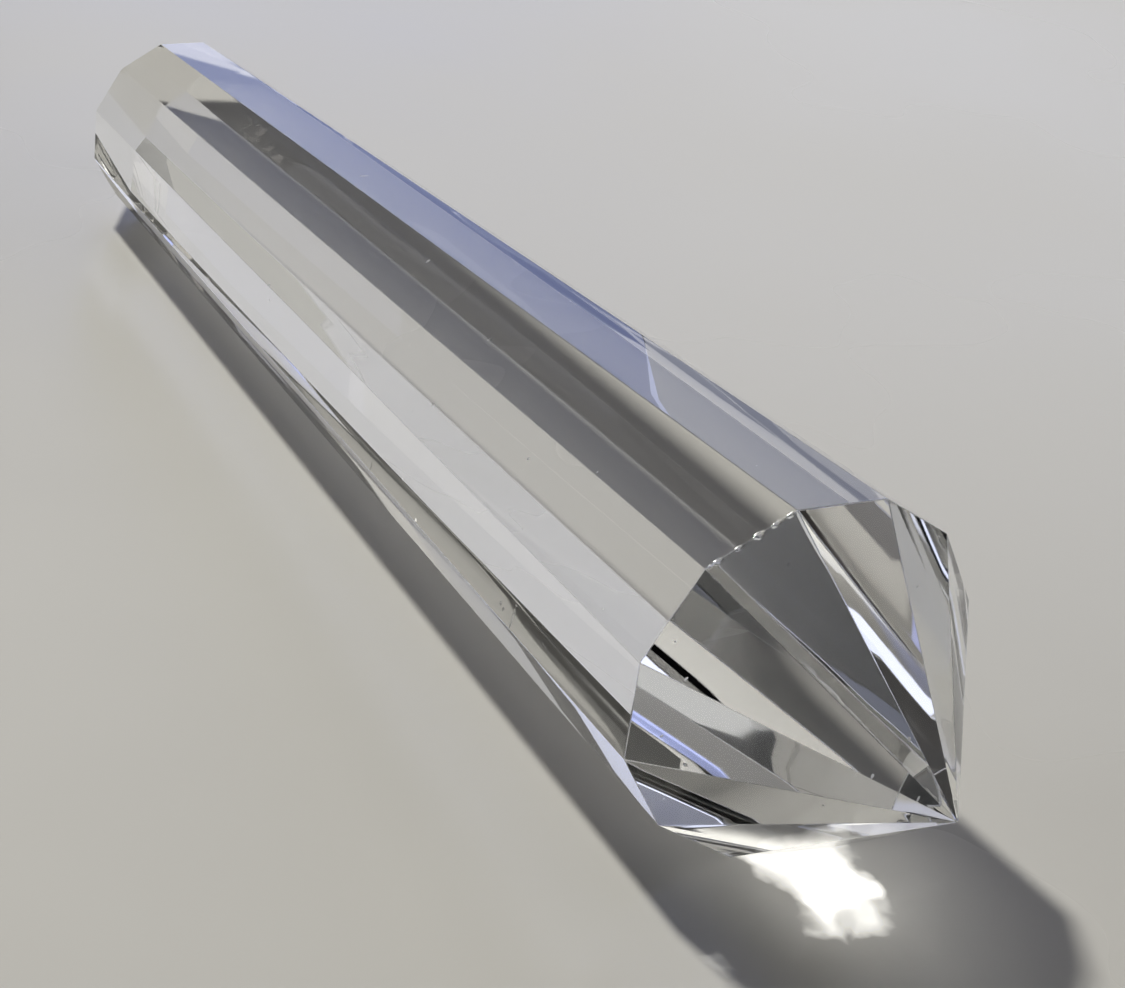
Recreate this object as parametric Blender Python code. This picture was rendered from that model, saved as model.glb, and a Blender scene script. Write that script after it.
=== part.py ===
"""A clear quartz wand with twelve long sides, cut to a point at both ends.

The wand is one solid piece of crystal. Its body tapers from a wide girdle to a narrow one, and
each girdle carries a twelve-sided point. It lies on one of its long facets, with the wide point
towards +X. The origin is on the surface that it rests on, under the middle of its box.
"""

import math

import bmesh
import bpy
from mathutils import Matrix, Vector

# Driving dimensions, in metres and degrees
SIDES = 12
WIDE_RADIUS = 0.0125
NARROW_RADIUS = 0.0077
BODY_LENGTH = 0.098
WIDE_POINT_SLOPE = 51.85
NARROW_POINT_SLOPE = 60.0

# Hand cutting leaves the corners a little off a true ring. An angle round the wand starts at the
# resting facet and turns towards +Y. Each wave is its crests in a turn, its size and where one
# crest stands, in degrees.
CORNER_REACH_WAVES = ((2, 0.0100, 49.0), (3, 0.0128, 70.5))
CORNER_TURN_WAVES = ((2, 0.90, 78.5), (3, 1.43, 52.5))
WIDE_GIRDLE_WAVES = ((1, 0.00021, 104.0), (2, 0.00080, 18.5), (3, 0.00026, 37.0))
NARROW_GIRDLE_WAVES = ((1, 0.00032, -36.0), (2, 0.00041, 13.0))
WIDE_POINT_DRIFT = (0.0, -0.00029, -0.00030)

# Clear quartz
CRYSTAL_COLOUR = (0.94, 0.96, 0.98, 1.0)
CRYSTAL_ROUGHNESS = 0.02
QUARTZ_IOR = 1.544


def clear_scene():
    """Remove the objects that the open file holds."""
    for thing in list(bpy.data.objects):
        bpy.data.objects.remove(thing, do_unlink=True)


def make_crystal():
    """Clear polished quartz: see-through, with hardly any roughness."""
    crystal = bpy.data.materials.new("clear_quartz")
    crystal.use_nodes = True
    shader = crystal.node_tree.nodes["Principled BSDF"]
    shader.inputs["Base Color"].default_value = CRYSTAL_COLOUR
    shader.inputs["Metallic"].default_value = 0.0
    shader.inputs["Roughness"].default_value = CRYSTAL_ROUGHNESS
    shader.inputs["IOR"].default_value = QUARTZ_IOR
    shader.inputs["Transmission Weight"].default_value = 1.0
    crystal.diffuse_color = CRYSTAL_COLOUR
    return crystal


def point_height(radius, slope):
    """Height of a point whose corner lines climb at this slope from a girdle of this radius."""
    return radius * math.tan(math.radians(slope))


def wave_height(waves, angle):
    """Sum of the waves at an angle round the wand, in radians."""
    return sum(size * math.cos(crests * (angle - math.radians(crest)))
               for crests, size, crest in waves)


def cut_corner(angle, along):
    """Place of a girdle corner, where along runs from 0 at the narrow girdle to BODY_LENGTH.

    The radius grows evenly along the body and both girdles share one outline, so every long
    edge aims at one far point and each long facet stays flat.
    """
    taper = NARROW_RADIUS + (WIDE_RADIUS - NARROW_RADIUS) * along / BODY_LENGTH
    reach = taper * (1.0 + wave_height(CORNER_REACH_WAVES, angle))
    turned = angle + math.radians(wave_height(CORNER_TURN_WAVES, angle))
    return Vector((along, reach * math.sin(turned), -reach * math.cos(turned)))


def even_body():
    """Evenly cut twelve-sided body along +X with a flat facet below, and a point on each end."""
    body = bmesh.new()
    half_side = Matrix.Rotation(math.pi / SIDES, 4, "Z")
    along_x = Matrix.Rotation(math.pi / 2.0, 4, "Y")
    from_narrow_girdle = Matrix.Translation((BODY_LENGTH / 2.0, 0.0, 0.0))
    bmesh.ops.create_cone(
        body, cap_ends=True, cap_tris=False, segments=SIDES,
        radius1=NARROW_RADIUS, radius2=WIDE_RADIUS, depth=BODY_LENGTH,
        matrix=from_narrow_girdle @ along_x @ half_side)
    caps = [face for face in body.faces if len(face.verts) == SIDES]
    for cap in caps:
        is_wide = cap.calc_center_median().x > BODY_LENGTH / 2.0
        slope = WIDE_POINT_SLOPE if is_wide else NARROW_POINT_SLOPE
        radius = WIDE_RADIUS if is_wide else NARROW_RADIUS
        bmesh.ops.poke(body, faces=[cap], offset=point_height(radius, slope))
    return body


def cut_by_hand(body):
    """Move the evenly cut corners to where hand cutting left them."""
    for corner in body.verts:
        if corner.co.x > BODY_LENGTH * 1.001:
            corner.co += Vector(WIDE_POINT_DRIFT)
        elif corner.co.x > -BODY_LENGTH * 0.001:
            is_wide = corner.co.x > BODY_LENGTH / 2.0
            angle = math.atan2(corner.co.y, -corner.co.z)
            waves = WIDE_GIRDLE_WAVES if is_wide else NARROW_GIRDLE_WAVES
            girdle = BODY_LENGTH if is_wide else 0.0
            corner.co = cut_corner(angle, girdle + wave_height(waves, angle))
    body.normal_update()


def lie_down(wand, body):
    """Turn the wand until its lowest long facet lies flat, and set it over the origin."""
    long_facets = [face for face in body.faces if len(face.verts) == 4]
    resting_facet = min(long_facets, key=lambda face: face.normal.z)
    turn = resting_facet.normal.rotation_difference(Vector((0.0, 0.0, -1.0)))
    turned = [turn @ corner.co for corner in body.verts]
    lowest = Vector([min(place[axis] for place in turned) for axis in range(3)])
    highest = Vector([max(place[axis] for place in turned) for axis in range(3)])
    middle = (lowest + highest) / 2.0
    wand.rotation_mode = "QUATERNION"
    wand.rotation_quaternion = turn
    wand.location = (-middle.x, -middle.y, -lowest.z)


def build_wand():
    """The whole wand: one closed crystal with flat facets."""
    body = even_body()
    cut_by_hand(body)
    mesh = bpy.data.meshes.new("quartz_wand")
    wand = bpy.data.objects.new("quartz_wand", mesh)
    bpy.context.scene.collection.objects.link(wand)
    lie_down(wand, body)
    body.to_mesh(mesh)
    body.free()
    mesh.materials.append(make_crystal())
    return wand


clear_scene()
build_wand()
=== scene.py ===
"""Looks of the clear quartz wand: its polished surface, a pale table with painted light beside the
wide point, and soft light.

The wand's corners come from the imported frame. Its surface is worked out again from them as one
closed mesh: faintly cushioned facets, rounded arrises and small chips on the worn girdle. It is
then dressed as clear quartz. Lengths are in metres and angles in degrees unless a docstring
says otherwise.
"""

import logging
import math
from dataclasses import dataclass, field
from enum import Enum
from typing import List, Tuple

import bpy
import numpy as np
from mathutils import Matrix, Vector

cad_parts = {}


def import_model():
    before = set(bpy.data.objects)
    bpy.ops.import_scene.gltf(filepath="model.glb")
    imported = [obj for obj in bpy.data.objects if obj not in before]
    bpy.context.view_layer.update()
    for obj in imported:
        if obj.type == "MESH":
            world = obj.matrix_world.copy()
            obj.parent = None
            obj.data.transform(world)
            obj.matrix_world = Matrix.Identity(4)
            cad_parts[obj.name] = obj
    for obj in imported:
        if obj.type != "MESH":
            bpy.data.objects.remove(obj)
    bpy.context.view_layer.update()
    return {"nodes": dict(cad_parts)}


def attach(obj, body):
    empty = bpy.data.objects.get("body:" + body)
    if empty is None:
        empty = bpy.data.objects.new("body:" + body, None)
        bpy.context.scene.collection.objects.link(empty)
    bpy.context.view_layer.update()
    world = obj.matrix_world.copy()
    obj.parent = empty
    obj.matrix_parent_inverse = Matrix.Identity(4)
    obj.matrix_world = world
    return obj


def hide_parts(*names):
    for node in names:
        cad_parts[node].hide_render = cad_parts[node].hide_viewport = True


LOG = logging.getLogger("quartz_wand")
Triple = Tuple[float, float, float]
Colour = Tuple[float, float, float, float]
Span = Tuple[float, float]

# No corner of the wand lies nearer to its middle than this
FAR_FROM_MIDDLE = 0.02
# Far less than any length on the wand
HAIR = 1e-6


class Station(Enum):
    """The four places along the wand that its corners belong to, from the narrow point on."""

    NARROW_TIP = 0
    NARROW_GIRDLE = 1
    WIDE_GIRDLE = 2
    WIDE_TIP = 3


class LampShape(Enum):
    """Outline of a panel of light."""

    ROUND = "DISK"
    OBLONG = "RECTANGLE"


@dataclass(frozen=True)
class ClearQuartz:
    """Finish of the polished crystal, with ground-white wear on its arrises and fine scratches.

    Attributes:
        colour: Tint of light that passes the surface.
        ior: Index of refraction of quartz.
        polish: Roughness of the well polished facets.
        haze: Roughness at the heart of a smear.
        smear_scale: Cells in a metre of the noise that gives the smears.
        smear_span: Levels of that noise at which a smear starts and is full.
        depth_colour: Colour that a long way through the crystal leaves.
        depth_density: How strongly the crystal takes light away, for each metre.
        grain_scale: Cells in a metre of the noise that gives the ground surface its grain.
        scratch_turn: Turn of the scratches, in radians.
        scratch_scale: Cells in a metre along each axis, with a scratch in each.
        scratch_span: Reach of a scratch's rim and of its full depth, in cells.
        scratch_strength: Share of ground surface in a scratch.
    """

    colour: Colour = (1.0, 1.0, 1.0, 1.0)
    ior: float = 1.544
    polish: float = 0.006
    haze: float = 0.035
    smear_scale: float = 90.0
    smear_span: Span = (0.50, 0.80)
    depth_colour: Colour = (0.90, 0.93, 0.92, 1.0)
    depth_density: float = 1.2
    grain_scale: float = 3200.0
    scratch_turn: Triple = (0.0, 0.3, 0.9)
    scratch_scale: Triple = (300.0, 75.0, 300.0)
    scratch_span: Span = (0.045, 0.015)
    scratch_strength: float = 0.7

    def make(self) -> bpy.types.Material:
        """Build the material.

        Returns:
            The see-through crystal material.
        """
        crystal = bpy.data.materials.new("clear_quartz")
        crystal.use_nodes = True
        tree = crystal.node_tree
        shader = tree.nodes["Principled BSDF"]
        shader.inputs["Base Color"].default_value = self.colour
        shader.inputs["IOR"].default_value = self.ior
        shader.inputs["Transmission Weight"].default_value = 1.0
        place = tree.nodes.new("ShaderNodeTexCoord")
        marks = self.add_marks(tree, place)
        rough = tree.nodes.new("ShaderNodeMath")
        rough.operation = "ADD"
        depth = tree.nodes.new("ShaderNodeVolumeAbsorption")
        depth.inputs["Color"].default_value = self.depth_colour
        depth.inputs["Density"].default_value = self.depth_density
        tree.links.new(self.add_smears(tree, place), rough.inputs[0])
        tree.links.new(marks, rough.inputs[1])
        tree.links.new(rough.outputs["Value"], shader.inputs["Roughness"])
        tree.links.new(depth.outputs["Volume"], tree.nodes["Material Output"].inputs["Volume"])
        return crystal

    def add_smears(self, tree: bpy.types.NodeTree, place: bpy.types.Node) -> bpy.types.NodeSocket:
        """Add the roughness of the polish, with faint smears where fingers have been.

        Args:
            tree: Node tree of the material.
            place: Node that gives object coordinates.

        Returns:
            The socket that gives the roughness.
        """
        smear = tree.nodes.new("ShaderNodeTexNoise")
        smear.inputs["Scale"].default_value = self.smear_scale
        smear.inputs["Detail"].default_value = 2.0
        spread = tree.nodes.new("ShaderNodeMapRange")
        spread.inputs["From Min"].default_value = self.smear_span[0]
        spread.inputs["From Max"].default_value = self.smear_span[1]
        spread.inputs["To Min"].default_value = self.polish
        spread.inputs["To Max"].default_value = self.haze
        tree.links.new(place.outputs["Object"], smear.inputs["Vector"])
        tree.links.new(smear.outputs["Fac"], spread.inputs["Value"])
        return spread.outputs["Result"]

    def add_marks(self, tree: bpy.types.NodeTree, place: bpy.types.Node) -> bpy.types.NodeSocket:
        """Add the mask of ground-white wear: on arrises and chips, and in sparse short scratches.

        Args:
            tree: Node tree of the material.
            place: Node that gives object coordinates.

        Returns:
            The socket that gives the share of ground surface, which is added to the roughness.
        """
        wear = tree.nodes.new("ShaderNodeAttribute")
        wear.attribute_name = "wear"
        grain = tree.nodes.new("ShaderNodeTexNoise")
        grain.inputs["Scale"].default_value = self.grain_scale
        grain.inputs["Detail"].default_value = 1.0
        rubbed = tree.nodes.new("ShaderNodeMath")
        rubbed.operation = "MULTIPLY"
        stretch = tree.nodes.new("ShaderNodeMapping")
        stretch.inputs["Rotation"].default_value = self.scratch_turn
        stretch.inputs["Scale"].default_value = self.scratch_scale
        cells = tree.nodes.new("ShaderNodeTexVoronoi")
        cells.inputs["Scale"].default_value = 1.0
        scratch = tree.nodes.new("ShaderNodeMapRange")
        scratch.inputs["From Min"].default_value = self.scratch_span[0]
        scratch.inputs["From Max"].default_value = self.scratch_span[1]
        scratch.inputs["To Max"].default_value = self.scratch_strength
        either = tree.nodes.new("ShaderNodeMath")
        either.operation = "MAXIMUM"
        tree.links.new(place.outputs["Object"], grain.inputs["Vector"])
        tree.links.new(wear.outputs["Fac"], rubbed.inputs[0])
        tree.links.new(grain.outputs["Fac"], rubbed.inputs[1])
        tree.links.new(place.outputs["Object"], stretch.inputs["Vector"])
        tree.links.new(stretch.outputs["Vector"], cells.inputs["Vector"])
        tree.links.new(cells.outputs["Distance"], scratch.inputs["Value"])
        tree.links.new(rubbed.outputs["Value"], either.inputs[0])
        tree.links.new(scratch.outputs["Result"], either.inputs[1])
        return either.outputs["Value"]


@dataclass(frozen=True)
class PaintedCaustic:
    """A painted caustic: a patch of painted light on the table, put in place of the key light that
    the wand's wide point gathers there.

    Attributes:
        corners: Corners of the patch on the table, in order and anticlockwise from above.
        glow: Brightness of the painted light that it adds to the table as emission.
        softness: Width over which its rim fades.
    """

    corners: Tuple[Span, ...]
    glow: float
    softness: float

    def add_mask(self, tree: bpy.types.NodeTree,
                 spot: bpy.types.NodeSocket) -> bpy.types.NodeSocket:
        """Add the painted patch's brightness: the least of its straight sides' ramps, times its
        glow.

        Args:
            tree: Node tree of the material.
            spot: Socket that gives the place on the table.

        Returns:
            The socket that gives the brightness.
        """
        inside = None
        for first, last in zip(self.corners, self.corners[1:] + self.corners[:1]):
            side = Vector(last) - Vector(first)
            inward = Vector((-side.y, side.x)).normalized() / self.softness
            reach = tree.nodes.new("ShaderNodeVectorMath")
            reach.operation = "DOT_PRODUCT"
            reach.inputs[1].default_value = (*inward, 0.0)
            ramp = tree.nodes.new("ShaderNodeMath")
            ramp.operation = "SUBTRACT"
            ramp.use_clamp = True
            ramp.inputs[1].default_value = inward.dot(Vector(first))
            tree.links.new(spot, reach.inputs[0])
            tree.links.new(reach.outputs["Value"], ramp.inputs[0])
            if inside is None:
                inside = ramp.outputs["Value"]
                continue
            least = tree.nodes.new("ShaderNodeMath")
            least.operation = "MINIMUM"
            tree.links.new(inside, least.inputs[0])
            tree.links.new(ramp.outputs["Value"], least.inputs[1])
            inside = least.outputs["Value"]
        # Painted light: the patch's brightness becomes emission of the table
        shine = tree.nodes.new("ShaderNodeMath")
        shine.operation = "MULTIPLY"
        shine.inputs[1].default_value = self.glow
        tree.links.new(inside, shine.inputs[0])
        return shine.outputs["Value"]


@dataclass(frozen=True)
class PaleTable:
    """Finish of the plain pale surface that the wand lies on, with painted light beside the wand's
    wide point.

    Attributes:
        light_colour: Paler tone of its faint clouding.
        dark_colour: Darker tone of its faint clouding.
        cloud_scale: Cells in a metre of the noise that gives the clouding.
        cloud_span: Levels of that noise at which the surface shines most and least.
        smooth: Roughness where it shines most.
        dull: Roughness where it shines least.
        painted_caustics: Patches of painted light on the table, put in place of the key light that
            the wand gathers beside its wide point.
        painted_caustic_colour: Colour of the painted light.
        ragged: How far a noise pulls about the rims of the painted light patches, as the crystal's
            hand polish would.
        ripple_scale: Cells in a metre of the noise that pulls them.
    """

    light_colour: Colour = (0.600, 0.592, 0.566, 1.0)
    dark_colour: Colour = (0.520, 0.509, 0.482, 1.0)
    cloud_scale: float = 14.0
    cloud_span: Span = (0.35, 0.65)
    smooth: float = 0.24
    dull: float = 0.36
    # Painted light: emission patches on the table for the bright caustic beside the wide point, a
    # faint halo round it and a small spot
    painted_caustics: Tuple[PaintedCaustic, ...] = (
        PaintedCaustic(((0.0474, -0.0036), (0.0556, -0.0014), (0.0545, 0.0042), (0.0470, 0.0050)),
                      0.9, 0.0012),
        PaintedCaustic(((0.0520, -0.0018), (0.0568, -0.0032), (0.0580, -0.0008), (0.0540, 0.0022)),
                      0.7, 0.0014),
        PaintedCaustic(((0.0520, 0.0004), (0.0579, -0.0004), (0.0578, 0.0028), (0.0530, 0.0046)),
                      0.7, 0.0014),
        PaintedCaustic(((0.0500, -0.0050), (0.0585, -0.0056), (0.0605, 0.0035), (0.0535, 0.0100)),
                      0.05, 0.0030),
        PaintedCaustic(((0.0565, -0.0103), (0.0582, -0.0103), (0.0582, -0.0090), (0.0565, -0.0090)),
                      0.16, 0.0006),
    )
    painted_caustic_colour: Colour = (1.0, 0.985, 0.93, 1.0)
    ragged: float = 0.0024
    ripple_scale: float = 520.0

    def make(self) -> bpy.types.Material:
        """Build the material.

        Returns:
            The pale satin material.
        """
        pale = bpy.data.materials.new("pale_table")
        pale.use_nodes = True
        tree = pale.node_tree
        shader = tree.nodes["Principled BSDF"]
        place = tree.nodes.new("ShaderNodeTexCoord")
        cloud = tree.nodes.new("ShaderNodeTexNoise")
        cloud.inputs["Scale"].default_value = self.cloud_scale
        cloud.inputs["Detail"].default_value = 3.0
        tone = tree.nodes.new("ShaderNodeMix")
        tone.data_type = "RGBA"
        tone.inputs["A"].default_value = self.dark_colour
        tone.inputs["B"].default_value = self.light_colour
        shine = tree.nodes.new("ShaderNodeMapRange")
        shine.inputs["From Min"].default_value = self.cloud_span[0]
        shine.inputs["From Max"].default_value = self.cloud_span[1]
        shine.inputs["To Min"].default_value = self.smooth
        shine.inputs["To Max"].default_value = self.dull
        tree.links.new(place.outputs["Object"], cloud.inputs["Vector"])
        tree.links.new(cloud.outputs["Fac"], tone.inputs["Factor"])
        tree.links.new(tone.outputs["Result"], shader.inputs["Base Color"])
        tree.links.new(cloud.outputs["Fac"], shine.inputs["Value"])
        tree.links.new(shine.outputs["Result"], shader.inputs["Roughness"])
        self.add_painted_caustics(tree, place, shader)
        return pale

    def add_painted_caustics(self, tree: bpy.types.NodeTree, place: bpy.types.Node,
                     shader: bpy.types.Node) -> None:
        """Add the painted light patches as emission, with rims pulled about by a fine noise.

        Args:
            tree: Node tree of the material.
            place: Node that gives object coordinates.
            shader: The table's shader.
        """
        ripple = tree.nodes.new("ShaderNodeTexNoise")
        ripple.inputs["Scale"].default_value = self.ripple_scale
        ripple.inputs["Detail"].default_value = 2.0
        pull = tree.nodes.new("ShaderNodeVectorMath")
        pull.operation = "MULTIPLY_ADD"
        pull.inputs[1].default_value = (self.ragged,) * 3
        level = tree.nodes.new("ShaderNodeVectorMath")
        level.operation = "SUBTRACT"
        level.inputs[1].default_value = (0.5 * self.ragged,) * 3
        tree.links.new(place.outputs["Object"], ripple.inputs["Vector"])
        tree.links.new(ripple.outputs["Color"], pull.inputs[0])
        tree.links.new(place.outputs["Object"], pull.inputs[2])
        tree.links.new(pull.outputs["Vector"], level.inputs[0])
        painted_total = None
        for patch in self.painted_caustics:
            painted_patch_glow = patch.add_mask(tree, level.outputs["Vector"])
            if painted_total is not None:
                both = tree.nodes.new("ShaderNodeMath")
                tree.links.new(painted_total, both.inputs[0])
                tree.links.new(painted_patch_glow, both.inputs[1])
                painted_patch_glow = both.outputs["Value"]
            painted_total = painted_patch_glow
        # Painted light: the patches shine as the table's own emission
        shader.inputs["Emission Color"].default_value = self.painted_caustic_colour
        tree.links.new(painted_total, shader.inputs["Emission Strength"])


def mesh_object(name: str, corners: np.ndarray, faces: List[List[int]]) -> bpy.types.Object:
    """Put worked-out corners and faces into a new object at the origin.

    Args:
        name: Name of the object and its mesh.
        corners: Array of places, one row for each corner.
        faces: Corner numbers of each face, outward by the right-hand rule.

    Returns:
        The new object, linked to the scene.
    """
    mesh = bpy.data.meshes.new(name)
    mesh.from_pydata(corners.tolist(), [], faces)
    mesh.update()
    piece = bpy.data.objects.new(name, mesh)
    bpy.context.scene.collection.objects.link(piece)
    return piece


@dataclass
class QuartzWand:
    """The crystal, worked out from the corners that the frame gives.

    Attributes:
        node: Name of the frame's node.
        sides: Number of facets round the body.
        facet_steps: Places across a facet.
        worn_steps: Places across the facet whose girdle is chipped.
        curve_steps: Places along the rounding of an arris or girdle.
        ring_counts: Rings along the narrow point, the body and the wide point.
        gap: How far the even places stay from an arris or girdle, in widths of its rounding.
        arris: Share of a facet's width that the rounding of a long arris takes at each side.
        girdle_round: Length of the rounding at a girdle, along the body and along a point.
        girdle_band: Length at each side of the wide girdle that gets close rings for its chips.
        band_rings: Number of those rings at each side.
        band_start: Place of the first of them, as a share of that length.
        blunt: How much of each point is worn away at its very tip.
        cushion: How much lower a body facet is at its arrises than along its middle.
        point_cushion: The same for the facets of the points.
        swell: How much the facets of the points bulge halfway up.
        full_girth: Radius from which the cushions and waves have their full depth.
        waver: Height of the hand polish's long, low waves.
        waves: How fast each wave runs along the wand and round it, in radians for each station
            and each radian of turn.
        arris_wear: Share of ground surface along the arrises.
        chip_size: Radius of the largest chip on the worn girdle.
        chip_depth: Depth of a chip as a share of its radius.
        chip_lean: How far the chips are cut towards the narrow end, for each part inwards.
        chip_rise: How steeply the wear of a chip rises from its rim.
        chip_wear: Share of ground surface in the heart of a chip.
        chip_ways: Way of each chip along the worn stretch of the girdle.
        chip_scales: Radius of each chip as a share of the largest.
        worn_facet: Number of the facet whose girdle is chipped, counted from the resting facet.
        finish: Its finish.
    """

    node: str = "quartz_wand"
    sides: int = 12
    facet_steps: int = 9
    worn_steps: int = 40
    curve_steps: int = 5
    ring_counts: Tuple[int, int, int] = (14, 36, 20)
    gap: float = 1.5
    arris: float = 0.007
    girdle_round: float = 0.00006
    girdle_band: float = 0.0009
    band_rings: int = 10
    band_start: float = 0.08
    blunt: float = 0.006
    cushion: float = 0.000010
    point_cushion: float = 0.000016
    swell: float = 0.000020
    full_girth: float = 0.0075
    waver: float = 0.000003
    waves: Tuple[Span, ...] = ((7.0, 3.0), (13.0, -5.0))
    arris_wear: float = 0.30
    chip_size: float = 0.00022
    chip_depth: float = 0.35
    chip_lean: float = 0.6
    chip_rise: float = 2.0
    chip_wear: float = 0.9
    chip_ways: Tuple[float, ...] = (0.07, 0.16, 0.22, 0.35, 0.41, 0.55, 0.63, 0.70, 0.86, 0.94)
    chip_scales: Tuple[float, ...] = (0.6, 0.35, 0.8, 0.45, 1.0, 0.4, 0.7, 0.3, 0.9, 0.5)
    worn_facet: int = 6
    finish: ClearQuartz = field(default_factory=ClearQuartz)

    def corners(self, cad: bpy.types.Object) -> Tuple[np.ndarray, np.ndarray]:
        """Sort the frame's corners into two girdles and two tips.

        Args:
            cad: The frame's object for this node.

        Returns:
            The girdles, as an array of station, corner and axis, and the two tips.
        """
        places = np.empty(len(cad.data.vertices) * 3, np.float32)
        cad.data.vertices.foreach_get("co", places)
        # The frame's mesh is loose triangles, so each corner comes several times
        places = np.unique(places.reshape(-1, 3).round(7).astype(float), axis=0)
        along = places[:, 0]
        tips = places[[along.argmin(), along.argmax()]]
        girdles = []
        for side in (-1.0, 1.0):
            near = places[along * side > FAR_FROM_MIDDLE]
            near = near[np.abs(near[:, 0]) < np.abs(near[:, 0]).max() - HAIR]
            middle = near.mean(axis=0)
            turn = np.arctan2(near[:, 1] - middle[1], middle[2] - near[:, 2])
            girdles.append(near[np.argsort(turn % (2.0 * np.pi))])
        return np.array(girdles), tips

    def shares_round(self) -> Tuple[np.ndarray, np.ndarray]:
        """Find how the corners of a ring share in each place round the wand.

        Along a facet a place is the straight mix of the facet's two corners. Near a corner it is
        the curve that starts and ends a short way along the two facets and is drawn towards the
        corner: (1 - q)^2 of the start, 2 q (1 - q) of the corner and q^2 of the end.

        Returns:
            The shares, as an array of place and corner, and each place's way across its facet.
        """
        shares, across = [], []
        eye = np.eye(self.sides)
        for corner in range(self.sides):
            steps = self.worn_steps if corner == self.worn_facet else self.facet_steps
            before, here, after = eye[corner - 1], eye[corner], eye[(corner + 1) % self.sides]
            curve = np.linspace(0.0, 1.0, self.curve_steps)[:, None]
            start = here + self.arris * (before - here)
            finish = here + self.arris * (after - here)
            shares.append((1 - curve) ** 2 * start + 2 * curve * (1 - curve) * here
                          + curve ** 2 * finish)
            across.append(np.zeros(self.curve_steps))
            edge = self.arris * self.gap
            way = np.linspace(edge, 1.0 - edge, steps)[:, None]
            shares.append((1 - way) * here + way * after)
            across.append(way[:, 0])
        return np.vstack(shares), np.concatenate(across)

    def shares_along(self, girdles: np.ndarray, tips: np.ndarray) -> Tuple[np.ndarray, np.ndarray]:
        """Find how the four stations share in each ring along the wand.

        Between two stations a ring is their straight mix, and near a girdle it follows the same
        kind of curve as near a corner. Close rings stand at both sides of the wide girdle.

        Args:
            girdles: The two girdles' corners.
            tips: The two tips.

        Returns:
            The shares, as an array of ring and station, and each ring's way through the stations.
        """
        stops = np.array([tips[0], girdles[0].mean(axis=0), girdles[1].mean(axis=0), tips[1]])
        lengths = np.linalg.norm(np.diff(stops, axis=0), axis=1)
        shares, ways = [], []
        eye = np.eye(len(Station))
        for span, count in enumerate(self.ring_counts):
            ease = self.girdle_round / lengths[span]
            first = self.blunt if span == Station.NARROW_TIP.value else ease
            last = 1.0 - (self.blunt if span == Station.WIDE_GIRDLE.value else ease)
            inner = np.linspace(first + self.gap * ease, last - self.gap * ease, count)
            band = np.linspace(self.band_start, 1.0, self.band_rings)
            close = self.girdle_band / lengths[span] * band
            beside = {Station.NARROW_GIRDLE.value: 1.0 - close, Station.WIDE_GIRDLE.value: close}
            way = np.concatenate([[first], inner, [last], beside.get(span, inner[:0])])
            way = np.unique(way.round(9))[:, None]
            shares.append((1 - way) * eye[span] + way * eye[span + 1])
            ways.append(span + way[:, 0])
            if span < len(self.ring_counts) - 1:
                following = self.girdle_round / lengths[span + 1]
                start = eye[span + 1] + ease * (eye[span] - eye[span + 1])
                finish = eye[span + 1] + following * (eye[span + 2] - eye[span + 1])
                curve = np.linspace(0.0, 1.0, self.curve_steps)[1:-1, None]
                shares.append((1 - curve) ** 2 * start
                              + 2 * curve * (1 - curve) * eye[span + 1] + curve ** 2 * finish)
                ways.append(np.full(len(curve), span + 1.0))
        return np.vstack(shares), np.concatenate(ways)

    def surface(self, girdles: np.ndarray, tips: np.ndarray) -> Tuple[np.ndarray, np.ndarray]:
        """Work out the wand's surface as a grid of rings along it and places round it.

        Each place is the sum of the stations' corners, each weighed by its share along the wand
        times its share round it. It is then let in towards the axis by the cushion, which is
        nothing along a facet's middle and grows with the square of the way to its arrises, and by
        the slow waves of hand polish. The points' facets swell by a parabola halfway up.

        Args:
            girdles: The two girdles' corners.
            tips: The two tips.

        Returns:
            The grid of places, and the wear of each, which is nothing away from the arrises.
        """
        round_shares, across = self.shares_round()
        along_shares, ways = self.shares_along(girdles, tips)
        stations = np.array([
            np.repeat(tips[:1], self.sides, axis=0), girdles[0],
            girdles[1], np.repeat(tips[1:], self.sides, axis=0)])
        grid = np.einsum("us,vc,scx->uvx", along_shares, round_shares, stations)
        axis = grid.mean(axis=1, keepdims=True)
        outward = grid - axis
        radius = np.linalg.norm(outward, axis=2, keepdims=True)
        outward = outward / np.maximum(radius, HAIR)
        girth = np.clip(radius / self.full_girth, 0.0, 1.0)
        on_point = (ways < 1.0) | (ways > 2.0)
        middle = 1.0 - (2.0 * across - 1.0) ** 2
        low = np.where(on_point, self.point_cushion, self.cushion)[:, None, None]
        let_in = low * girth * (1.0 - middle)[None, :, None]
        up_point = np.where(on_point, 4.0 * (ways % 1.0) * (1.0 - ways % 1.0), 0.0)
        swell = self.swell * up_point[:, None, None]
        turn = np.linspace(0.0, 2.0 * np.pi, len(across), endpoint=False)
        wave = sum(np.sin(forward * ways[:, None] + about * turn) for forward, about in self.waves)
        rolling = self.waver * (1.0 + 0.5 * wave)[:, :, None] * girth
        grid = grid + outward * (swell - let_in - rolling)
        on_arris = (across == 0.0)[None, :] | (ways == ways.round())[:, None]
        wear = np.where(on_arris, self.arris_wear, 0.0)
        return grid, wear

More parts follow.
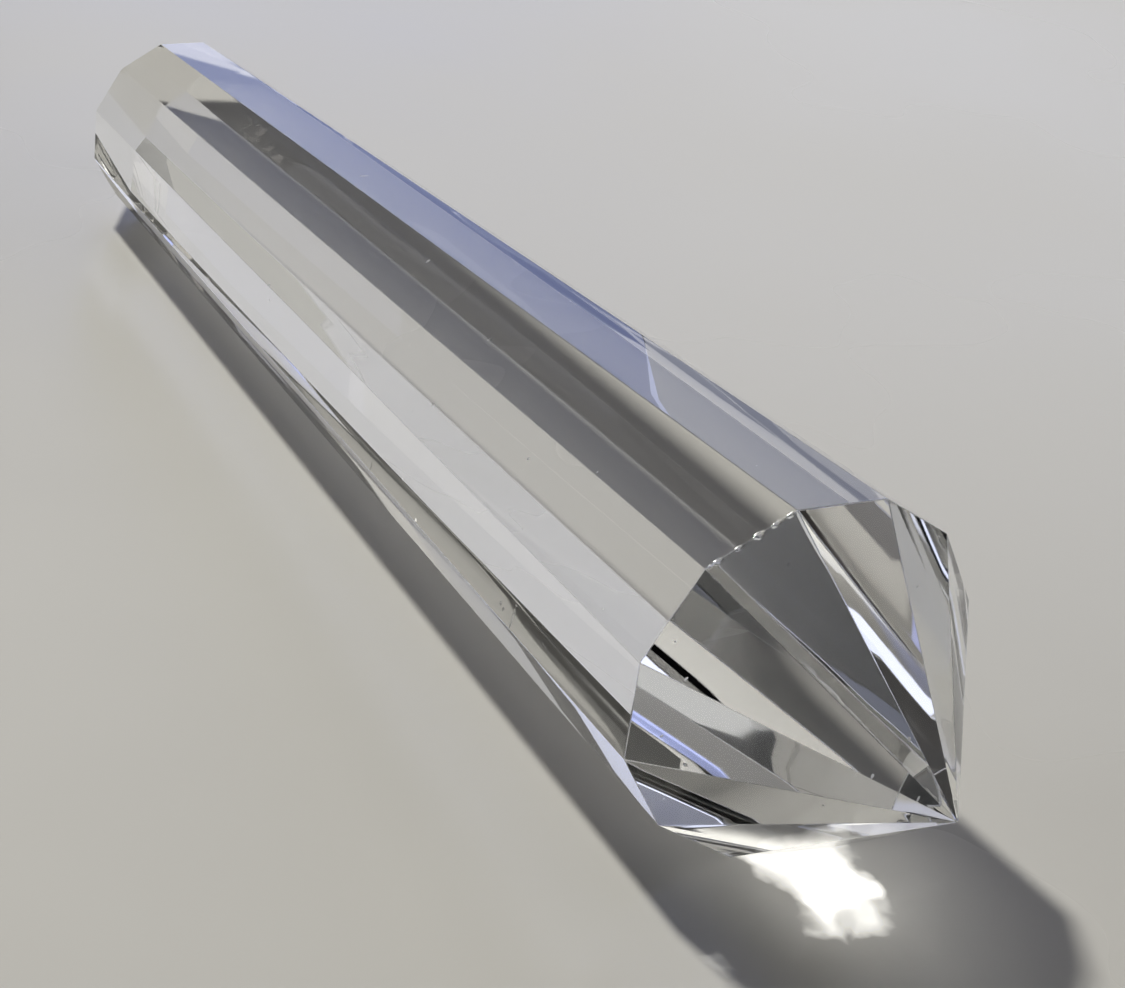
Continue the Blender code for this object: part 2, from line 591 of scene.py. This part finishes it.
    def chip(self, grid: np.ndarray, wear: np.ndarray, girdle: np.ndarray) -> None:
        """Press small shell-shaped chips into the worn stretch of the wide girdle.

        A chip lowers every place within its radius by a parabola of the distance to its middle,
        towards the wand's own axis and its narrow end.

        Args:
            grid: The surface's places, changed in place.
            wear: The surface's wear, changed in place.
            girdle: Corners of the wide girdle.
        """
        first = girdle[self.worn_facet]
        last = girdle[(self.worn_facet + 1) % self.sides]
        ways = np.array(self.chip_ways)
        sizes = np.array(self.chip_scales) * self.chip_size
        middles = first + ways[:, None] * (last - first)
        inward = Vector((girdle.mean(axis=0) - 0.5 * (first + last)).tolist())
        inward = np.array((inward.normalized() + Vector((-self.chip_lean, 0.0, 0.0))).normalized())
        reach = np.linalg.norm(grid[:, :, None, :] - middles, axis=3) / sizes
        bowl = np.clip(1.0 - reach ** 2, 0.0, 1.0)
        depth = (bowl * sizes * self.chip_depth).max(axis=2)
        grid += depth[:, :, None] * inward
        worn = np.clip(self.chip_rise * bowl.max(axis=2), 0.0, self.chip_wear)
        wear[:] = np.maximum(wear, worn)

    def build(self, cad: bpy.types.Object) -> bpy.types.Object:
        """Make the wand's mesh as one closed grid with a pole at each tip.

        Args:
            cad: The frame's object for this node.

        Returns:
            The finished wand.
        """
        girdles, tips = self.corners(cad)
        grid, wear = self.surface(girdles, tips)
        self.chip(grid, wear, girdles[1])
        rings, around = grid.shape[:2]
        poles = np.array([grid[0].mean(axis=0), grid[-1].mean(axis=0)])
        number = np.arange(rings * around).reshape(rings, around)
        after = np.roll(number, -1, axis=1)
        quads = np.stack([number[:-1], number[1:], after[1:], after[:-1]], axis=2).reshape(-1, 4)
        narrow_pole = np.full(around, rings * around)
        near = np.stack([narrow_pole, number[0], after[0]], axis=1)
        far = np.stack([narrow_pole + 1, after[-1], number[-1]], axis=1)
        places = np.vstack([grid.reshape(-1, 3), poles])
        wand = mesh_object("wand", places, quads.tolist() + near.tolist() + far.tolist())
        self.face_outwards(wand, places)
        wand.data.shade_smooth()
        marks = wand.data.attributes.new("wear", "FLOAT", "POINT")
        worn = np.append(wear.ravel(), np.ones(len(poles)))
        marks.data.foreach_set("value", worn.astype(np.float32))
        return wand

    @staticmethod
    def face_outwards(wand: bpy.types.Object, places: np.ndarray) -> None:
        """Turn the closed surface right way out, if it came out inside out.

        Args:
            wand: The wand.
            places: Its corners.
        """
        widest = max(wand.data.polygons, key=lambda face: face.area)
        away = Vector(widest.center) - Vector(places.mean(axis=0).tolist())
        if widest.normal.dot(away) < 0.0:
            wand.data.flip_normals()

    def dress(self, wand: bpy.types.Object) -> None:
        """Give the wand its finish and tie it to the frame.

        Args:
            wand: The wand.
        """
        wand.data.materials.append(self.finish.make())
        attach(wand, "root")
        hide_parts(self.node)


@dataclass
class Table:
    """Plain surface under the wand.

    Attributes:
        half_width: Half of its width.
        finish: Its finish.
    """

    half_width: float = 1.2
    finish: PaleTable = field(default_factory=PaleTable)

    def build(self) -> bpy.types.Object:
        """Make the table top as one flat sheet.

        Returns:
            The table top.
        """
        sides = np.array([-self.half_width, self.half_width])
        x, y = np.meshgrid(sides, sides)
        places = np.stack([x.ravel(), y.ravel(), np.zeros(4)], axis=1)
        table = mesh_object("table", places, [[0, 1, 3, 2]])
        pale = self.finish.make()
        # Its painted light is emission, found by the rays that strike it, and none are aimed at it
        pale.cycles.emission_sampling = "NONE"
        table.data.materials.append(pale)
        return table


@dataclass(frozen=True)
class SoftLight:
    """A soft panel of light that faces the wand.

    Attributes:
        name: Name of the light.
        turn: Direction of its middle round the wand, from the wide point towards the +Y side.
        height: Height of its middle over the table, as an angle.
        spread: Width and height as angles.
        glow: Brightness of its surface.
        colour: Colour of the light.
        shape: Outline.
        distance: Distance from the wand.
        on_table: Whether it lights the table straight.
        through_crystal: Whether it is seen in and through the crystal.
    """

    name: str
    turn: float
    height: float
    spread: Span
    glow: float
    colour: Triple
    shape: LampShape = LampShape.OBLONG
    distance: float = 1.6
    on_table: bool = True
    through_crystal: bool = True

    def build(self) -> bpy.types.Object:
        """Make the panel.

        Returns:
            The light's object.
        """
        lamp = bpy.data.lights.new(self.name, "AREA")
        lamp.shape = self.shape.value
        wide, tall = (2.0 * self.distance * math.tan(math.radians(0.5 * angle))
                      for angle in self.spread)
        lamp.size, lamp.size_y = wide, tall
        area = wide * tall * (math.pi / 4.0 if self.shape is LampShape.ROUND else 1.0)
        lamp.energy = self.glow * math.pi * area
        lamp.color = self.colour
        panel = bpy.data.objects.new(self.name, lamp)
        bpy.context.scene.collection.objects.link(panel)
        turn, height = math.radians(self.turn), math.radians(self.height)
        away = Vector((math.cos(turn) * math.cos(height), math.sin(turn) * math.cos(height),
                       math.sin(height)))
        panel.location = away * self.distance
        panel.rotation_euler = away.to_track_quat("Z", "Y").to_euler()
        panel.visible_camera = False
        panel.visible_diffuse = self.on_table
        panel.visible_glossy = self.through_crystal
        panel.visible_transmission = self.through_crystal
        return panel


@dataclass(frozen=True)
class PhotoCamera:
    """Camera at the photograph's viewing angle.

    Attributes:
        place: Where it stands.
        aim: What it looks at.
        roll: How far it is tipped anticlockwise.
        focal_length: Its focal length, in millimetres.
        sensor: Width of its sensor, in millimetres.
        near: Distance from which it sees.
    """

    place: Triple = (0.1686, -0.10005, 0.10175)
    aim: Triple = (0.0300, -0.0082, 0.0161)
    roll: float = 10.1
    focal_length: float = 96.0
    sensor: float = 36.0
    near: float = 0.005

    def build(self) -> bpy.types.Object:
        """Make the camera and set it as the scene's own.

        Returns:
            The camera's object.
        """
        lens = bpy.data.cameras.new("camera")
        lens.lens = self.focal_length
        lens.sensor_width = self.sensor
        lens.sensor_fit = "HORIZONTAL"
        lens.clip_start = self.near
        camera = bpy.data.objects.new("camera", lens)
        bpy.context.scene.collection.objects.link(camera)
        place, aim = Vector(self.place), Vector(self.aim)
        level = (aim - place).to_track_quat("-Z", "Y").to_matrix().to_4x4()
        roll = Matrix.Rotation(math.radians(self.roll), 4, "Z")
        camera.matrix_world = Matrix.Translation(place) @ level @ roll
        bpy.context.scene.camera = camera
        return camera


# The panels stand where the photograph's facets show bright, and the gaps where they show dark.
# The key light comes as two, so that its shadow stays hard while its image in the facets is soft.
LIGHTS = (
    SoftLight("key", 191.0, 50.4, (4.6, 4.6), 575.0, (1.02, 1.0, 0.93), LampShape.ROUND,
              through_crystal=False),
    SoftLight("key_through_crystal", 191.0, 50.4, (7.5, 7.5), 215.0, (1.02, 1.0, 0.93),
              LampShape.ROUND, on_table=False),
    SoftLight("far_blue_panel", 154.5, 16.0, (15.0, 18.0), 1.0, (0.68, 0.80, 1.42)),
    SoftLight("near_blue_panel", 132.7, 18.5, (27.0, 17.0), 1.2, (0.88, 0.93, 1.17)),
    SoftLight("low_far_panel", 140.0, 3.6, (46.0, 11.0), 0.5, (1.0, 0.98, 0.92)),
    SoftLight("upper_panel", 152.0, 36.0, (26.0, 12.0), 0.65, (1.0, 1.0, 1.02)),
    SoftLight("warm_panel", 56.0, 46.0, (50.0, 22.0), 0.50, (1.08, 0.99, 0.90)),
    SoftLight("top_panel", 95.0, 68.0, (34.0, 24.0), 0.50, (0.97, 0.96, 1.06)),
    SoftLight("key_glow", 205.5, 52.0, (8.0, 12.0), 0.7, (1.03, 1.0, 0.93)),
    SoftLight("side_panel", 238.0, 20.5, (16.0, 12.0), 1.0, (1.03, 1.0, 0.93)),
    SoftLight("side_rim_panel", 226.5, 13.5, (7.0, 7.0), 0.5, (0.80, 0.85, 1.35)),
    SoftLight("low_side_panel", 240.0, 3.5, (30.0, 7.0), 0.8, (0.70, 0.80, 1.40)),
    SoftLight("low_glow", 200.5, 12.3, (11.0, 3.6), 0.5, (1.0, 1.0, 0.97)),
    SoftLight("dim_side_panel", 275.0, 24.0, (26.0, 26.0), 0.15, (1.0, 1.0, 0.88)),
)


@dataclass(frozen=True)
class DimRoom:
    """The very dim light from all round, which leaves the crystal its darks.

    Attributes:
        colour: Colour of the light.
        strength: Its brightness.
    """

    colour: Colour = (0.9, 0.95, 1.0, 1.0)
    strength: float = 0.02

    def build(self) -> bpy.types.World:
        """Make the light and set it as the scene's own.

        Returns:
            The world that holds it.
        """
        world = bpy.data.worlds.new("room")
        world.use_nodes = True
        glow = world.node_tree.nodes["Background"]
        glow.inputs["Color"].default_value = self.colour
        glow.inputs["Strength"].default_value = self.strength
        bpy.context.scene.world = world
        return world


def set_light_paths() -> None:
    """Let light pass through the crystal as often as its inner reflections need."""
    scene = bpy.context.scene
    scene.view_settings.view_transform = "Standard"
    cycles = scene.cycles
    cycles.max_bounces = 20
    cycles.transmission_bounces = 20
    cycles.glossy_bounces = 12
    cycles.diffuse_bounces = 2
    cycles.sample_clamp_indirect = 3.0
    cycles.use_denoising = True


def main() -> None:
    """Build the wand, the table, the lights and the camera."""
    logging.basicConfig(level=logging.INFO, format="%(message)s")
    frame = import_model()
    wand_maker = QuartzWand()
    wand = wand_maker.build(frame["nodes"][wand_maker.node])
    wand_maker.dress(wand)
    LOG.info("wand: %d faces", len(wand.data.polygons))
    Table().build()
    LOG.info("table: laid under the wand")
    for light in LIGHTS:
        light.build()
        LOG.info("light: %s", light.name)
    PhotoCamera().build()
    DimRoom().build()
    set_light_paths()


if __name__ == "__main__":
    main()
